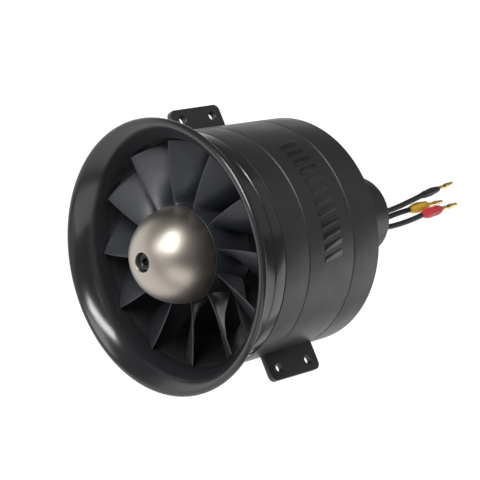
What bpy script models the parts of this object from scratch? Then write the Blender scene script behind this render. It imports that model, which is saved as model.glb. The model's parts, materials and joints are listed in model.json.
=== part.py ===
"""Ducted fan power unit for a model jet: a 90 mm duct with a snap-on intake lip, a twelve-blade fan on an
inrunner brushless motor, a fixed ring of vanes, and three motor leads.

Run with: blender --background --python part.py

Frame: +Y is the fan axis, from intake to exhaust. +Z is up and +X is to the right, seen from the intake. The
origin is on the fan axis, midway between the four holes of the two mounting tabs, which lie flat at Z = 0.
Working lengths are millimetres, written to the meshes in metres. Angles are degrees about the fan axis from +X
towards +Z, which is anticlockwise seen from the intake.
"""

import math

import bmesh
import bpy
from mathutils import Matrix, Vector

MM = 0.001
GAP = 0.3  # clearance between neighbouring solids

# Duct
BORE_R = 45.0
DUCT_R_FRONT = 47.2
DUCT_R_REAR = 46.3
EXIT_R = 44.8
DUCT_FRONT_Y = -31.0
DUCT_SHOULDER_Y = -26.0
DUCT_REAR_Y = 29.4
SPIGOT_R = 46.0
GROOVE_YS = (-12.45, 14.2)
GROOVE_WIDTH = 0.9
GROOVE_DEPTH = 0.4

# Intake lip
LIP_Y = -44.94  # centre plane of the rolled edge
LIP_OUTER_R = 54.4
LIP_ROLL_R = 1.56
LIP_STEP_Y = -31.6
THROAT_Y = -32.3  # where the bell meets the straight bore

# Mounting tabs
TAB_OUTER_X = 58.1
TAB_LENGTH = 27.6
TAB_THICKNESS = 2.6
TAB_CORNER_R = 2.4
TAB_HOLE_R = 1.7
TAB_HOLE_X = 53.4
TAB_HOLE_PITCH = 16.8

# Lip screws, one each side of each tab
LIP_SCREW_ANGLE = 11.6
LIP_SCREW_Y = -28.0

# Fan
BLADES = 12
TIP_R = 44.45
BLADE_ROOT_R = 18.4  # just inside the hub's skin
BLADE_STAGGER = (16.0, 38.0, 45.5, 48.5)  # from root to tip
HUB_R = 19.2
HUB_FRONT_Y = -35.0
HUB_REAR_Y = -16.0
FIRST_BLADE_ANGLE = 164.0

# Spinner
SPINNER_BASE_Y = HUB_FRONT_Y - GAP
SPINNER_TIP_Y = -56.0
SPINNER_HALF_AXIS = 21.1
NOSE_HOLE_R = 3.75

# Fixed vanes and motor sleeve
VANES = 7
VANE_FRONT_Y = -13.0
VANE_REAR_Y = 12.0
FIRST_VANE_ANGLE = -9.0
SLEEVE_R = 19.2
SLEEVE_BORE_R = 17.8
SLEEVE_FRONT_Y = -15.2
SLEEVE_REAR_Y = 32.0
MOTOR_WALL = 2.8

# Motor
CAN_R = 17.5
CAN_BORE_R = 16.5
CAN_FRONT_Y = -8.0
CAN_REAR_Y = 42.3
SHAFT_R = 2.5
CORE_FRONT_Y = 3.0
CORE_REAR_Y = 31.0
TEETH = 6
TOOTH_HALF_WIDTH = 3.0
MOTOR_SCREW_CIRCLE_R = 12.5
LEAD_HOLE_CIRCLE_R = 11.0

# Tail cover
TAIL_FRONT_Y = SLEEVE_REAR_Y + GAP
TAIL_REAR_Y = 73.5

# Leads. The flat bundle leaves the tail cover off centre, along this slanted direction in the X-Z plane.
SLANT = Vector((0.932, 0.0, -0.362))
CROSS = Vector((0.362, 0.0, 0.932))
LEAD_DIAMETER = 2.4
GROMMET_CENTRE = 4.2
GROMMET_HALF_LENGTH = 4.9
GROMMET_HALF_WIDTH = 2.2
GROMMET_FRONT_Y = 70.8
GROMMET_REAR_Y = 75.0
CONNECTOR_LENGTH = 12.6
PIN_LENGTH = 10.0

# Each lead's route from the grommet to its connector: (along the slant, across it, y).
LEAD_ROUTES = {
    "black": [(1.2, 0.0, 75.3), (1.2, 0.0, 84.0), (0.8, 0.0, 91.0), (-0.1, 0.1, 99.0), (-1.4, 0.2, 107.0),
              (-2.6, 0.3, 114.0)],
    "yellow": [(4.2, 0.0, 75.3), (4.0, -0.5, 84.0), (3.6, -0.9, 92.0), (3.0, -1.3, 99.5), (2.6, -1.6, 107.7)],
    "red": [(7.2, 0.0, 75.3), (7.4, 0.6, 84.0), (7.5, 1.5, 91.0), (7.1, 2.1, 98.0), (6.3, 2.6, 105.0),
            (5.4, 2.9, 110.6)],
}
# Where each connector points, as (along the slant, across it) per unit of +Y.
CONNECTOR_DRIFT = {"black": (-0.12, 0.0), "yellow": (-0.02, 0.0), "red": (-0.07, 0.06)}
SHRINK_R = {"black": 1.75, "yellow": 2.35, "red": 2.3}


# Materials


def material(name, colour, roughness, metallic=0.0):
    made = bpy.data.materials.new(name)
    made.use_nodes = True
    shader = made.node_tree.nodes["Principled BSDF"]
    shader.inputs["Base Color"].default_value = (*colour, 1.0)
    shader.inputs["Roughness"].default_value = roughness
    shader.inputs["Metallic"].default_value = metallic
    made.diffuse_color = (*colour, 1.0)
    return made


def make_materials():
    return {
        "gloss": material("gloss_black_plastic", (0.015, 0.015, 0.017), 0.12),
        "satin": material("satin_black_plastic", (0.022, 0.022, 0.024), 0.45),
        "blade": material("blade_composite", (0.03, 0.032, 0.038), 0.4),
        "spinner": material("blasted_aluminium", (0.62, 0.58, 0.54), 0.35, 1.0),
        "anodised": material("black_anodised", (0.03, 0.03, 0.032), 0.4, 0.8),
        "steel": material("steel", (0.55, 0.55, 0.56), 0.3, 1.0),
        "black_steel": material("black_steel", (0.04, 0.04, 0.042), 0.35, 1.0),
        "lamination": material("lamination_steel", (0.35, 0.36, 0.38), 0.5, 1.0),
        "copper": material("enamelled_copper", (0.72, 0.34, 0.16), 0.35, 1.0),
        "magnet": material("nickel_plated_magnet", (0.5, 0.5, 0.5), 0.3, 1.0),
        "rubber": material("black_rubber", (0.02, 0.02, 0.02), 0.6),
        "black": material("black_heat_shrink", (0.025, 0.025, 0.027), 0.4),
        "yellow": material("yellow_heat_shrink", (0.75, 0.45, 0.06), 0.4),
        "red": material("red_heat_shrink", (0.6, 0.06, 0.07), 0.4),
        "gold": material("gold_plated_brass", (0.8, 0.62, 0.32), 0.25, 1.0),
    }


# Mesh helpers, all in millimetres


def finish(bm, name, look):
    """Turns a millimetre bmesh into an object in metres, smooth except at its sharp edges."""
    bmesh.ops.recalc_face_normals(bm, faces=bm.faces)
    if bm.calc_volume(signed=True) < 0:
        bmesh.ops.reverse_faces(bm, faces=bm.faces)
    bmesh.ops.scale(bm, vec=(MM, MM, MM), verts=bm.verts)
    mesh = bpy.data.meshes.new(name)
    bm.to_mesh(mesh)
    bm.free()
    mesh.shade_smooth()
    mesh.set_sharp_from_angle(angle=math.radians(32))
    made = bpy.data.objects.new(name, mesh)
    bpy.context.scene.collection.objects.link(made)
    made.data.materials.append(look)
    return made


def polar(radius, angle, y):
    """A point at a radius and an angle in degrees about the fan axis."""
    turn = math.radians(angle)
    return Vector((radius * math.cos(turn), y, radius * math.sin(turn)))


def arc(centre, radius, start, stop, steps):
    """Points (radius, y) of an arc in a turned outline, between two angles in degrees."""
    angles = [math.radians(start + (stop - start) * i / steps) for i in range(steps + 1)]
    return [(centre[0] + radius * math.cos(a), centre[1] + radius * math.sin(a)) for a in angles]


def add_turned(bm, outline, segments):
    """Spins a closed outline of (radius, y) points about the Y axis and returns the new vertices."""
    profile = [bm.verts.new((r, y, 0.0)) for r, y in outline]
    pairs = zip(profile, profile[1:] + profile[:1])
    edges = [bm.edges.new(pair) for pair in pairs if pair[0].co.x > 0 or pair[1].co.x > 0]
    before = set(bm.verts) - set(profile)
    bmesh.ops.spin(bm, geom=profile + edges, cent=(0, 0, 0), axis=(0, 1, 0), dvec=(0, 0, 0),
                   angle=math.tau, steps=segments, use_merge=False, use_duplicate=False)
    made = [v for v in bm.verts if v not in before]
    bmesh.ops.remove_doubles(bm, verts=made, dist=0.001)
    return [v for v in bm.verts if v not in before]


def turned(name, outline, look, segments=40):
    bm = bmesh.new()
    add_turned(bm, outline, segments)
    return finish(bm, name, look)


def add_loft(bm, loops, closed=False):
    """Skins a list of equally long point loops. Ends are capped unless the loops close on themselves."""
    rings = [[bm.verts.new(p) for p in loop] for loop in loops]
    count = len(rings[0])
    spans = list(zip(rings, rings[1:] + rings[:1])) if closed else list(zip(rings, rings[1:]))
    for a, b in spans:
        for i in range(count):
            j = (i + 1) % count
            bm.faces.new((a[i], a[j], b[j], b[i]))
    if not closed:
        bm.faces.new(rings[0])
        bm.faces.new(list(reversed(rings[-1])))
    return [v for ring in rings for v in ring]


def cylinder_outline(radius, y0, y1):
    return [(0.0, y0), (radius, y0), (radius, y1), (0.0, y1)]


def ring_outline(inner, outer, y0, y1):
    return [(inner, y0), (outer, y0), (outer, y1), (inner, y1)]


def ring(name, inner, outer, y0, y1, look, segments=24):
    return turned(name, ring_outline(inner, outer, y0, y1), look, segments)


def place(bm, verts, origin, direction):
    """Moves vertices modelled along +Y so that +Y points along a direction from an origin."""
    turn = Vector((0, 1, 0)).rotation_difference(Vector(direction)).to_matrix().to_4x4()
    bmesh.ops.transform(bm, matrix=Matrix.Translation(origin) @ turn, verts=verts)


def boolean(target, tool, operation):
    """Adds a Boolean to the target. The tool stays as a hidden guide."""
    tool.hide_render = True
    tool.display_type = "WIRE"
    step = target.modifiers.new(operation.lower(), "BOOLEAN")
    step.operation = operation
    step.solver = "EXACT"
    step.object = tool
    return target


def drills(name, places, outline, look, segments=12):
    """One tool made of the same turned outline at several (origin, direction) places."""
    bm = bmesh.new()
    for origin, direction in places:
        place(bm, add_turned(bm, outline, segments), origin, direction)
    return finish(bm, name, look)


def aerofoil_loops(stations, thickness, steps=4):
    """Closed section loops of a blade. Each station is (radius, start angle, start y, end angle, end y, camber).

    The mean line runs from start to end. Camber is how much steeper the line is at its start than on average.
    """
    loops = []
    for radius, angle_a, y_a, angle_b, y_b, camber in stations:
        def mean(s, radius=radius, angle_a=angle_a, y_a=y_a, angle_b=angle_b, y_b=y_b, camber=camber):
            bend = s + camber * s * (1 - s)
            return Vector((math.radians(angle_a + (angle_b - angle_a) * bend) * radius, y_a + (y_b - y_a) * s))
        upper, lower = [], []
        for i in range(steps + 1):
            s = (1 - math.cos(math.pi * i / steps)) / 2
            tangent = (mean(min(s + 0.01, 1)) - mean(max(s - 0.01, 0))).normalized()
            side = Vector((-tangent.y, tangent.x))
            half = thickness(radius) * (0.22 + 2.2 * math.sqrt(s) * (1 - s) * 0.68)
            upper.append(mean(s) + side * half)
            lower.append(mean(s) - side * half)
        section = upper + lower[::-1]
        loops.append([polar(radius, math.degrees(p.x / radius), p.y) for p in section])
    return loops


# Duct


def lip_outline():
    """The lip's section: a rolled edge, the bell inside it, and a collar that slips over the duct's spigot."""
    roll_centre = (LIP_OUTER_R - LIP_ROLL_R, LIP_Y)
    out, back = roll_centre[0] - BORE_R, THROAT_Y - LIP_Y
    bell_r = (out ** 2 + back ** 2 - LIP_ROLL_R ** 2) / (2 * (out - LIP_ROLL_R))
    meet = 180 + math.degrees(math.atan2(back, bell_r - out))
    roll = arc(roll_centre, LIP_ROLL_R, 45, meet - 360, 6)
    bell = arc((BORE_R + bell_r, THROAT_Y), bell_r, meet, 180, 4)
    collar_r = DUCT_R_FRONT - 0.1
    back_y = DUCT_SHOULDER_Y - GAP
    return roll + bell[1:] + [
        (BORE_R, DUCT_FRONT_Y - GAP),
        (SPIGOT_R + GAP, DUCT_FRONT_Y - GAP),
        (SPIGOT_R + GAP, back_y),
        (collar_r - 0.3, back_y),
        (collar_r, back_y - 0.3),
        (collar_r, LIP_STEP_Y),
        (collar_r - 0.35, LIP_STEP_Y - 0.3),
        (collar_r - 0.1, -36.8),
        (collar_r + 0.6, -37.6),
        (collar_r + 2.2, -39.1),
        (collar_r + 4.4, -41.7),
    ]


def screw_places():
    """Each lip screw's origin on the fan axis and its outward direction."""
    angles = [LIP_SCREW_ANGLE, -LIP_SCREW_ANGLE, 180 - LIP_SCREW_ANGLE, 180 + LIP_SCREW_ANGLE]
    return [(Vector((0, LIP_SCREW_Y, 0)), polar(1, angle, 0)) for angle in angles]


def make_lip(looks):
    lip = turned("intake_lip", lip_outline(), looks["gloss"])
    hole = [(0, 44), (1.1, 44), (1.1, SPIGOT_R), (1.4, SPIGOT_R + 0.5), (1.4, 49), (0, 49)]
    return boolean(lip, drills("lip_screw_holes", screw_places(), hole, looks["gloss"], 10), "DIFFERENCE")


def make_lip_screws(looks):
    head_r = DUCT_R_FRONT - 0.4
    outline = [(0, BORE_R + 0.15), (0.75, BORE_R + 0.15), (0.75, SPIGOT_R + 0.2), (1.1, head_r), (0.5, head_r),
               (0.5, head_r - 0.4), (0, head_r - 0.4)]
    for number, (origin, direction) in enumerate(screw_places(), 1):
        bm = bmesh.new()
        place(bm, add_turned(bm, outline, 10), origin, direction)
        finish(bm, f"lip_screw_{number}", looks["black_steel"])


def duct_outline():
    """The duct's section, with a spigot in front and two shallow moulded grooves."""
    def outer(y):
        share = (y - DUCT_SHOULDER_Y) / (DUCT_REAR_Y - DUCT_SHOULDER_Y)
        return DUCT_R_FRONT + (DUCT_R_REAR - DUCT_R_FRONT) * share
    points = [(BORE_R, DUCT_FRONT_Y), (SPIGOT_R, DUCT_FRONT_Y), (SPIGOT_R, DUCT_SHOULDER_Y),
              (DUCT_R_FRONT, DUCT_SHOULDER_Y)]
    for y in GROOVE_YS:
        half = GROOVE_WIDTH / 2
        points += [(outer(y - half), y - half), (outer(y) - GROOVE_DEPTH, y), (outer(y + half), y + half)]
    points += [(DUCT_R_REAR, DUCT_REAR_Y - 0.4), (DUCT_R_REAR - 0.3, DUCT_REAR_Y), (EXIT_R, DUCT_REAR_Y),
               (BORE_R, VANE_REAR_Y)]
    return points


def tab_outline(side):
    """The tab seen from above: it grows out of the duct wall and has two rounded outer corners."""
    root_x = BORE_R + 1.0
    half = TAB_LENGTH / 2
    centre_x = TAB_OUTER_X - TAB_CORNER_R
    corner = [(math.cos(math.radians(a)) * TAB_CORNER_R, math.sin(math.radians(a)) * TAB_CORNER_R)
              for a in range(0, 91, 18)]
    far = [(centre_x + x, half - TAB_CORNER_R + y) for x, y in corner]
    near = [(x, -y) for x, y in reversed(far)]
    return [(side * x, y) for x, y in [(root_x, -half)] + near + far + [(root_x, half)]]


def make_duct(looks):
    duct = turned("duct_shell", duct_outline(), looks["satin"])
    tabs = bmesh.new()
    for side in (-1, 1):
        outline = tab_outline(side)
        add_loft(tabs, [[(x, y, z) for x, y in outline] for z in (-TAB_THICKNESS / 2, TAB_THICKNESS / 2)])
    boolean(duct, finish(tabs, "tab_blanks", looks["satin"]), "UNION")
    holes = [(Vector((x, y, 0)), (0, 0, 1)) for x in (-TAB_HOLE_X, TAB_HOLE_X)
             for y in (-TAB_HOLE_PITCH / 2, TAB_HOLE_PITCH / 2)]
    bolt = cylinder_outline(TAB_HOLE_R, -4, 4)
    boolean(duct, drills("tab_holes", holes, bolt, looks["satin"], 20), "DIFFERENCE")
    pilot = cylinder_outline(1.05, 43, 49)
    return boolean(duct, drills("lip_screw_pilots", screw_places(), pilot, looks["satin"], 8), "DIFFERENCE")


# Fixed vanes and motor sleeve


def make_stator_frame(looks):
    outline = [(7.0, SLEEVE_FRONT_Y), (SLEEVE_R - 0.5, SLEEVE_FRONT_Y), (SLEEVE_R, SLEEVE_FRONT_Y + 0.5),
               (SLEEVE_R, SLEEVE_REAR_Y), (SLEEVE_BORE_R, SLEEVE_REAR_Y),
               (SLEEVE_BORE_R, SLEEVE_FRONT_Y + MOTOR_WALL), (7.0, SLEEVE_FRONT_Y + MOTOR_WALL)]
    frame = turned("stator_frame", outline, looks["satin"], 28)
    vanes = bmesh.new()
    sweep = {18.5: 24.0, 30.0: 16.0, 44.5: 11.0}
    for number in range(VANES):
        start = FIRST_VANE_ANGLE + number * 360 / VANES
        stations = [(radius, start, VANE_FRONT_Y, start + turn, VANE_REAR_Y, 0.55)
                    for radius, turn in sweep.items()]
        add_loft(vanes, aerofoil_loops(stations, lambda radius: 1.1))
    boolean(frame, finish(vanes, "vane_blanks", looks["satin"]), "UNION")
    holes = [(polar(MOTOR_SCREW_CIRCLE_R, angle, 0), (0, 1, 0)) for angle in motor_screw_angles()]
    bolt = cylinder_outline(1.75, -20, -10)
    return boolean(frame, drills("motor_screw_clearance", holes, bolt, looks["satin"], 10), "DIFFERENCE")


# Motor


def motor_screw_angles():
    return [45 + 90 * i for i in range(4)]


def make_motor_shell(looks):
    ring("motor_can", CAN_BORE_R, CAN_R, CAN_FRONT_Y, CAN_REAR_Y, looks["anodised"], 32)
    spigot_r = CAN_BORE_R - GAP
    front_face = SLEEVE_FRONT_Y + MOTOR_WALL + GAP
    bell = [(3.6, -14.7), (6.6, -14.7), (6.6, front_face), (CAN_R, front_face), (CAN_R, CAN_FRONT_Y - GAP),
            (spigot_r, CAN_FRONT_Y - GAP), (spigot_r, -5.0), (8.3, -5.0), (8.3, -10.7), (3.6, -10.7)]
    front = turned("motor_front_bell", bell, looks["anodised"], 24)
    threads = [(polar(MOTOR_SCREW_CIRCLE_R, angle, 0), (0, 1, 0)) for angle in motor_screw_angles()]
    bolt = cylinder_outline(1.75, -20, -4)
    boolean(front, drills("motor_screw_threads", threads, bolt, looks["anodised"], 10), "DIFFERENCE")
    bell = [(2.0, 46.9), (CAN_R, 46.9), (CAN_R, CAN_REAR_Y + GAP), (spigot_r, CAN_REAR_Y + GAP), (spigot_r, 39.5),
            (8.3, 39.5), (8.3, 45.2), (2.0, 45.2)]
    rear = turned("motor_rear_bell", bell, looks["anodised"], 24)
    holes = [(polar(LEAD_HOLE_CIRCLE_R, angle, 0), (0, 1, 0)) for angle in inner_lead_angles().values()]
    hole = cylinder_outline(LEAD_DIAMETER / 2 + GAP, 35, 50)
    boolean(rear, drills("lead_holes", holes, hole, looks["anodised"], 10), "DIFFERENCE")


def make_motor_screws(looks):
    head_y = SLEEVE_FRONT_Y - GAP
    outline = [(0, head_y - 1.0), (1.2, head_y - 1.0), (1.2, head_y - 2.2), (2.5, head_y - 2.2), (2.5, head_y),
               (1.4, head_y), (1.4, -5.4), (0, -5.4)]
    for number, angle in enumerate(motor_screw_angles(), 1):
        bm = bmesh.new()
        verts = add_turned(bm, outline, 10)
        bmesh.ops.translate(bm, vec=polar(MOTOR_SCREW_CIRCLE_R, angle, 0), verts=verts)
        finish(bm, f"motor_screw_{number}", looks["black_steel"])


def make_stator_core(looks):
    """A slotted ring of laminations with one straight tooth for each coil."""
    outer_r, slot_r, bore_r = 16.2, 14.2, 9.6
    at_slot = math.degrees(math.asin(TOOTH_HALF_WIDTH / slot_r))
    at_bore = math.degrees(math.asin(TOOTH_HALF_WIDTH / bore_r))
    inner = []
    for tooth in range(TEETH):
        middle = tooth * 360 / TEETH
        inner += [(bore_r, middle - at_bore), (bore_r, middle), (bore_r, middle + at_bore),
                  (slot_r, middle + at_slot), (slot_r, middle + 30), (slot_r, middle + 60 - at_slot)]
    loops = []
    for y, bored in ((CORE_FRONT_Y, False), (CORE_REAR_Y, False), (CORE_REAR_Y, True), (CORE_FRONT_Y, True)):
        loops.append([polar(radius if bored else outer_r, angle, y) for radius, angle in inner])
    bm = bmesh.new()
    add_loft(bm, loops, closed=True)
    finish(bm, "stator_core", looks["lamination"])


def make_coils(looks):
    """One rectangular winding round each tooth, modelled at angle zero and turned into place."""
    mid_y = (CORE_FRONT_Y + CORE_REAR_Y) / 2
    half_core = (CORE_REAR_Y - CORE_FRONT_Y) / 2

    def rectangle(radius, half_width, half_length, corner):
        points = []
        for sz, sy, start in ((1, 1, 0), (-1, 1, 90), (-1, -1, 180), (1, -1, 270)):
            for a in (start, start + 45, start + 90):
                turn = math.radians(a)
                points.append(Vector((radius, mid_y + sy * (half_length - corner) + corner * math.sin(turn),
                                      sz * (half_width - corner) + corner * math.cos(turn))))
        return points

    inside = (TOOTH_HALF_WIDTH + GAP, half_core + GAP, 0.3)
    outside = (TOOTH_HALF_WIDTH + 1.7, half_core + 2.6, 1.4)
    low_r, high_r = 10.2, 12.9
    for number in range(TEETH):
        bm = bmesh.new()
        add_loft(bm, [rectangle(low_r, *outside), rectangle(high_r, *outside), rectangle(high_r, *inside),
                      rectangle(low_r, *inside)], closed=True)
        turn = Matrix.Rotation(math.radians(-number * 360 / TEETH), 3, "Y")
        bmesh.ops.rotate(bm, cent=(0, 0, 0), matrix=turn, verts=bm.verts)
        finish(bm, f"coil_{number + 1}", looks["copper"])


def make_bearings(looks, rotor):
    for place_name, y0 in (("front", -10.4), ("rear", 39.8)):
        y1 = y0 + 5.0
        ring(f"{place_name}_bearing_outer_ring", 6.5, 8.0, y0, y1, looks["steel"], 16)
        ring(f"{place_name}_bearing_cage", 4.6, 6.1, y0 + 0.8, y1 - 0.8, looks["lamination"], 16)
        inner = ring(f"{place_name}_bearing_inner_ring", SHAFT_R + GAP, 4.2, y0, y1, looks["steel"], 16)
        inner.parent = rotor


def make_motor_rotor(looks, rotor):
    shaft = turned("motor_shaft", cylinder_outline(SHAFT_R, -30.0, 44.9), looks["steel"], 16)
    core = ring("rotor_core", SHAFT_R + GAP, 6.0, CORE_FRONT_Y, CORE_REAR_Y, looks["lamination"], 16)
    sleeve = ring("magnet_sleeve", 8.5, 9.0, CORE_FRONT_Y - 0.5, CORE_REAR_Y + 0.5, looks["steel"])
    pieces = [shaft, core, sleeve]
    for number in range(4):
        angles = [number * 90 + 3 + 84 * i / 6 for i in range(7)]
        loops = []
        for y in (CORE_FRONT_Y, CORE_REAR_Y):
            loops.append([polar(8.15, a, y) for a in angles] + [polar(6.35, a, y) for a in reversed(angles)])
        bm = bmesh.new()
        add_loft(bm, loops)
        pieces.append(finish(bm, f"magnet_{number + 1}", looks["magnet"]))
    for piece in pieces:
        piece.parent = rotor


# Fan


def blade_stations():
    """Span stations of one blade, from its leading edge, its axial depth and its stagger from the axis."""
    stations = []
    for number, stagger in enumerate(BLADE_STAGGER):
        share = number / (len(BLADE_STAGGER) - 1)
        radius = BLADE_ROOT_R + (TIP_R - BLADE_ROOT_R) * share
        lead_angle = FIRST_BLADE_ANGLE - 5.5 * share
        lead_y = -33.8 - 1.5 * share
        depth = 16.2
        sweep = math.degrees(depth * math.tan(math.radians(stagger)) / radius)
        stations.append((radius, lead_angle, lead_y, lead_angle - sweep, lead_y + depth, 0.3 + 0.2 * share))
    return stations


def make_impeller(looks, rotor):
    outline = [(5.3, HUB_FRONT_Y), (HUB_R, HUB_FRONT_Y), (HUB_R, HUB_REAR_Y), (17.4, HUB_REAR_Y),
               (17.4, -30.6), (16.6, -31.4), (8.2, -31.4), (7.6, -30.8), (7.6, -18.6), (5.3, -18.6)]
    impeller = turned("impeller", outline, looks["blade"], 28)
    blades = bmesh.new()
    for number in range(BLADES):
        turn = number * 360 / BLADES
        stations = [(r, a - turn, y, b - turn, z, c) for r, a, y, b, z, c in blade_stations()]
        add_loft(blades, aerofoil_loops(stations, lambda radius: 1.15 - 0.6 * (radius - 18) / 27))
    boolean(impeller, finish(blades, "blade_blanks", looks["blade"]), "UNION")
    impeller.parent = rotor


def spinner_outline():
    """The dome is part of an ellipse about its base, with a counterbored screw hole in the nose."""
    reach = SPINNER_BASE_Y - SPINNER_TIP_Y
    rim = math.asin(reach / SPINNER_HALF_AXIS)
    dome = []
    for i in range(9):
        t = rim * i / 8
        dome.append((HUB_R * math.cos(t), SPINNER_BASE_Y - SPINNER_HALF_AXIS * math.sin(t)))
    return dome + [(NOSE_HOLE_R, -55.6), (NOSE_HOLE_R, -51.0), (2.3, -51.0), (2.3, -47.5), (6.0, -47.5),
                   (12.5, -44.5), (16.0, -39.5), (17.2, SPINNER_BASE_Y)]


def make_hub_hardware(looks, rotor):
    """The adapter that carries the fan on the motor shaft, its nut and washer, and the spinner with its screw."""
    adapter = [(0, -32.8), (2.3, -32.8), (2.3, -44.0), (3.9, -44.0), (3.9, -34.7), (5.0, -34.7), (5.0, -18.3),
               (9.0, -18.3), (9.0, -16.2), (SHAFT_R + GAP, -16.2), (SHAFT_R + GAP, -30.4), (0, -30.4)]
    pieces = [turned("hub_adapter", adapter, looks["spinner"], 18),
              ring("fan_washer", 4.2, 7.8, -36.2, SPINNER_BASE_Y, looks["steel"], 16),
              turned("spinner", spinner_outline(), looks["spinner"], 28)]
    nut = ring("fan_nut", 4.2, 7.4, -41.0, -36.5, looks["steel"], 16)
    flats = bmesh.new()
    add_loft(flats, [[polar(6.9, 60 * i, y) for i in range(6)] for y in (-45.0, -35.0)])
    pieces.append(boolean(nut, finish(flats, "nut_flats", looks["steel"]), "INTERSECT"))
    screw = [(0, -52.3), (1.6, -52.3), (1.6, -54.4), (3.2, -54.4), (3.4, -54.1), (3.4, -51.3), (2.0, -51.3),
             (2.0, -37.0), (0, -37.0)]
    pieces.append(turned("spinner_screw", screw, looks["black_steel"], 16))
    for piece in pieces:
        piece.parent = rotor


# Tail cover, grommet and leads


def slanted(along, across, y):
    return SLANT * along + CROSS * across + Vector((0, y, 0))


def stadium(half_length, half_width, y, steps=5):
    """A round-ended outline about the lead bundle, long side along the slant."""
    points = []
    for side, start in ((1, -90), (-1, 90)):
        for i in range(steps + 1):
            turn = math.radians(start + 180 * i / steps)
            along = GROMMET_CENTRE + side * (half_length - half_width) + half_width * math.cos(turn)
            points.append(slanted(along, half_width * math.sin(turn), y))
    return points


def make_tail(looks):
    outline = [(SLEEVE_BORE_R, TAIL_FRONT_Y), (SLEEVE_R, TAIL_FRONT_Y), (SLEEVE_R, 44.0), (18.9, 52.0),
               (18.1, 60.0), (17.0, 67.5), (16.5, 70.2), (15.6, 72.4), (13.3, TAIL_REAR_Y),
               (0, TAIL_REAR_Y), (0, TAIL_REAR_Y - 1.6), (13.0, TAIL_REAR_Y - 1.6), (14.7, 69.3), (16.3, 60.5),
               (17.2, 51.0), (SLEEVE_BORE_R, 47.5)]
    tail = turned("tail_cover", outline, looks["satin"], 28)
    slot = bmesh.new()
    reach = GROMMET_HALF_LENGTH + GAP
    add_loft(slot, [stadium(reach, GROMMET_HALF_WIDTH + GAP, y) for y in (68.0, 76.0)])
    return boolean(tail, finish(slot, "grommet_slot", looks["satin"]), "DIFFERENCE")


def make_grommet(looks):
    bm = bmesh.new()
    add_loft(bm, [stadium(GROMMET_HALF_LENGTH, GROMMET_HALF_WIDTH, y) for y in (GROMMET_FRONT_Y, 74.4)]
             + [stadium(GROMMET_HALF_LENGTH - 0.4, GROMMET_HALF_WIDTH - 0.4, GROMMET_REAR_Y)])
    grommet = finish(bm, "wire_grommet", looks["rubber"])
    starts = [(slanted(route[0][0], route[0][1], 0), (0, 1, 0)) for route in LEAD_ROUTES.values()]
    bore = cylinder_outline(LEAD_DIAMETER / 2 + 0.2, 65, 80)
    return boolean(grommet, drills("grommet_bores", starts, bore, looks["rubber"], 10), "DIFFERENCE")


def smooth_route(points, step):
    """Points at even steps along a smooth curve through a route's own points."""
    padded = [2 * points[0] - points[1]] + points + [2 * points[-1] - points[-2]]
    fine = []
    for a, b, c, d in zip(padded, padded[1:], padded[2:], padded[3:]):
        for i in range(24):
            t = i / 24
            fine.append(0.5 * (2 * b + (c - a) * t + (2 * a - 5 * b + 4 * c - d) * t ** 2
                               + (3 * b - a - 3 * c + d) * t ** 3))
    fine.append(points[-1])
    lengths = [0.0]
    for a, b in zip(fine, fine[1:]):
        lengths.append(lengths[-1] + (b - a).length)
    count = max(2, round(lengths[-1] / step))
    chosen, at = [], 0
    for i in range(count + 1):
        target = lengths[-1] * i / count
        while at < len(fine) - 2 and lengths[at + 1] < target:
            at += 1
        share = (target - lengths[at]) / (lengths[at + 1] - lengths[at])
        chosen.append(fine[at].lerp(fine[at + 1], min(share, 1.0)))
    return chosen


def tube(name, points, diameter, look):
    """A round lead along millimetre points: a curve with a bevel and filled caps."""
    curve = bpy.data.curves.new(name, "CURVE")
    curve.dimensions = "3D"
    curve.bevel_depth = diameter / 2 * MM
    curve.bevel_resolution = 2
    curve.use_fill_caps = True
    spline = curve.splines.new("POLY")
    spline.points.add(len(points) - 1)
    for spline_point, point in zip(spline.points, points):
        spline_point.co = (*(point * MM), 1.0)
    made = bpy.data.objects.new(name, curve)
    bpy.context.scene.collection.objects.link(made)
    curve.materials.append(look)
    return made


def inner_lead_angles():
    """Where the leads pass through the motor's rear bell."""
    return {"black": 130.0, "yellow": 200.0, "red": 290.0}


def make_leads(looks):
    for colour, route in LEAD_ROUTES.items():
        start = slanted(*route[0])
        entry = polar(LEAD_HOLE_CIRCLE_R, inner_lead_angles()[colour], 0)
        inner = [entry + Vector((0, y, 0)) for y in (36.0, 42.0, 47.5, 51.0)]
        exit_point = Vector((start.x, 0, start.z))
        inner.append((entry + exit_point) / 2 + Vector((0, 58.5, 0)))
        inner += [exit_point + Vector((0, y, 0)) for y in (66.0, 69.5, GROMMET_REAR_Y)]
        tube(f"inner_lead_{colour}", smooth_route(inner, 2.5 * LEAD_DIAMETER), LEAD_DIAMETER, looks["rubber"])
        points = smooth_route([slanted(*p) for p in route], 2.5 * LEAD_DIAMETER)
        tube(f"lead_{colour}", points, LEAD_DIAMETER, looks["rubber"])
        drift = CONNECTOR_DRIFT[colour]
        direction = slanted(drift[0], drift[1], 1.0).normalized()
        wide = SHRINK_R[colour]
        shrink = [(0, 0), (1.3, 0), (0.95 * wide, 2.6), (wide, 5.5), (0.92 * wide, CONNECTOR_LENGTH - 1.6),
                  (1.3, CONNECTOR_LENGTH), (0, CONNECTOR_LENGTH)]
        pin = [(0, 0), (0.95, 0), (0.95, 2.5), (1.15, 5.0), (1.0, 8.0), (0.85, PIN_LENGTH - 0.6),
               (0.45, PIN_LENGTH), (0, PIN_LENGTH)]
        origin = points[-1] + direction * GAP
        for name, outline, look in ((f"heat_shrink_{colour}", shrink, looks[colour]),
                                    (f"bullet_pin_{colour}", pin, looks["gold"])):
            bm = bmesh.new()
            place(bm, add_turned(bm, outline, 10), origin, direction)
            finish(bm, name, look)
            origin = origin + direction * (CONNECTOR_LENGTH + GAP)


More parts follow.
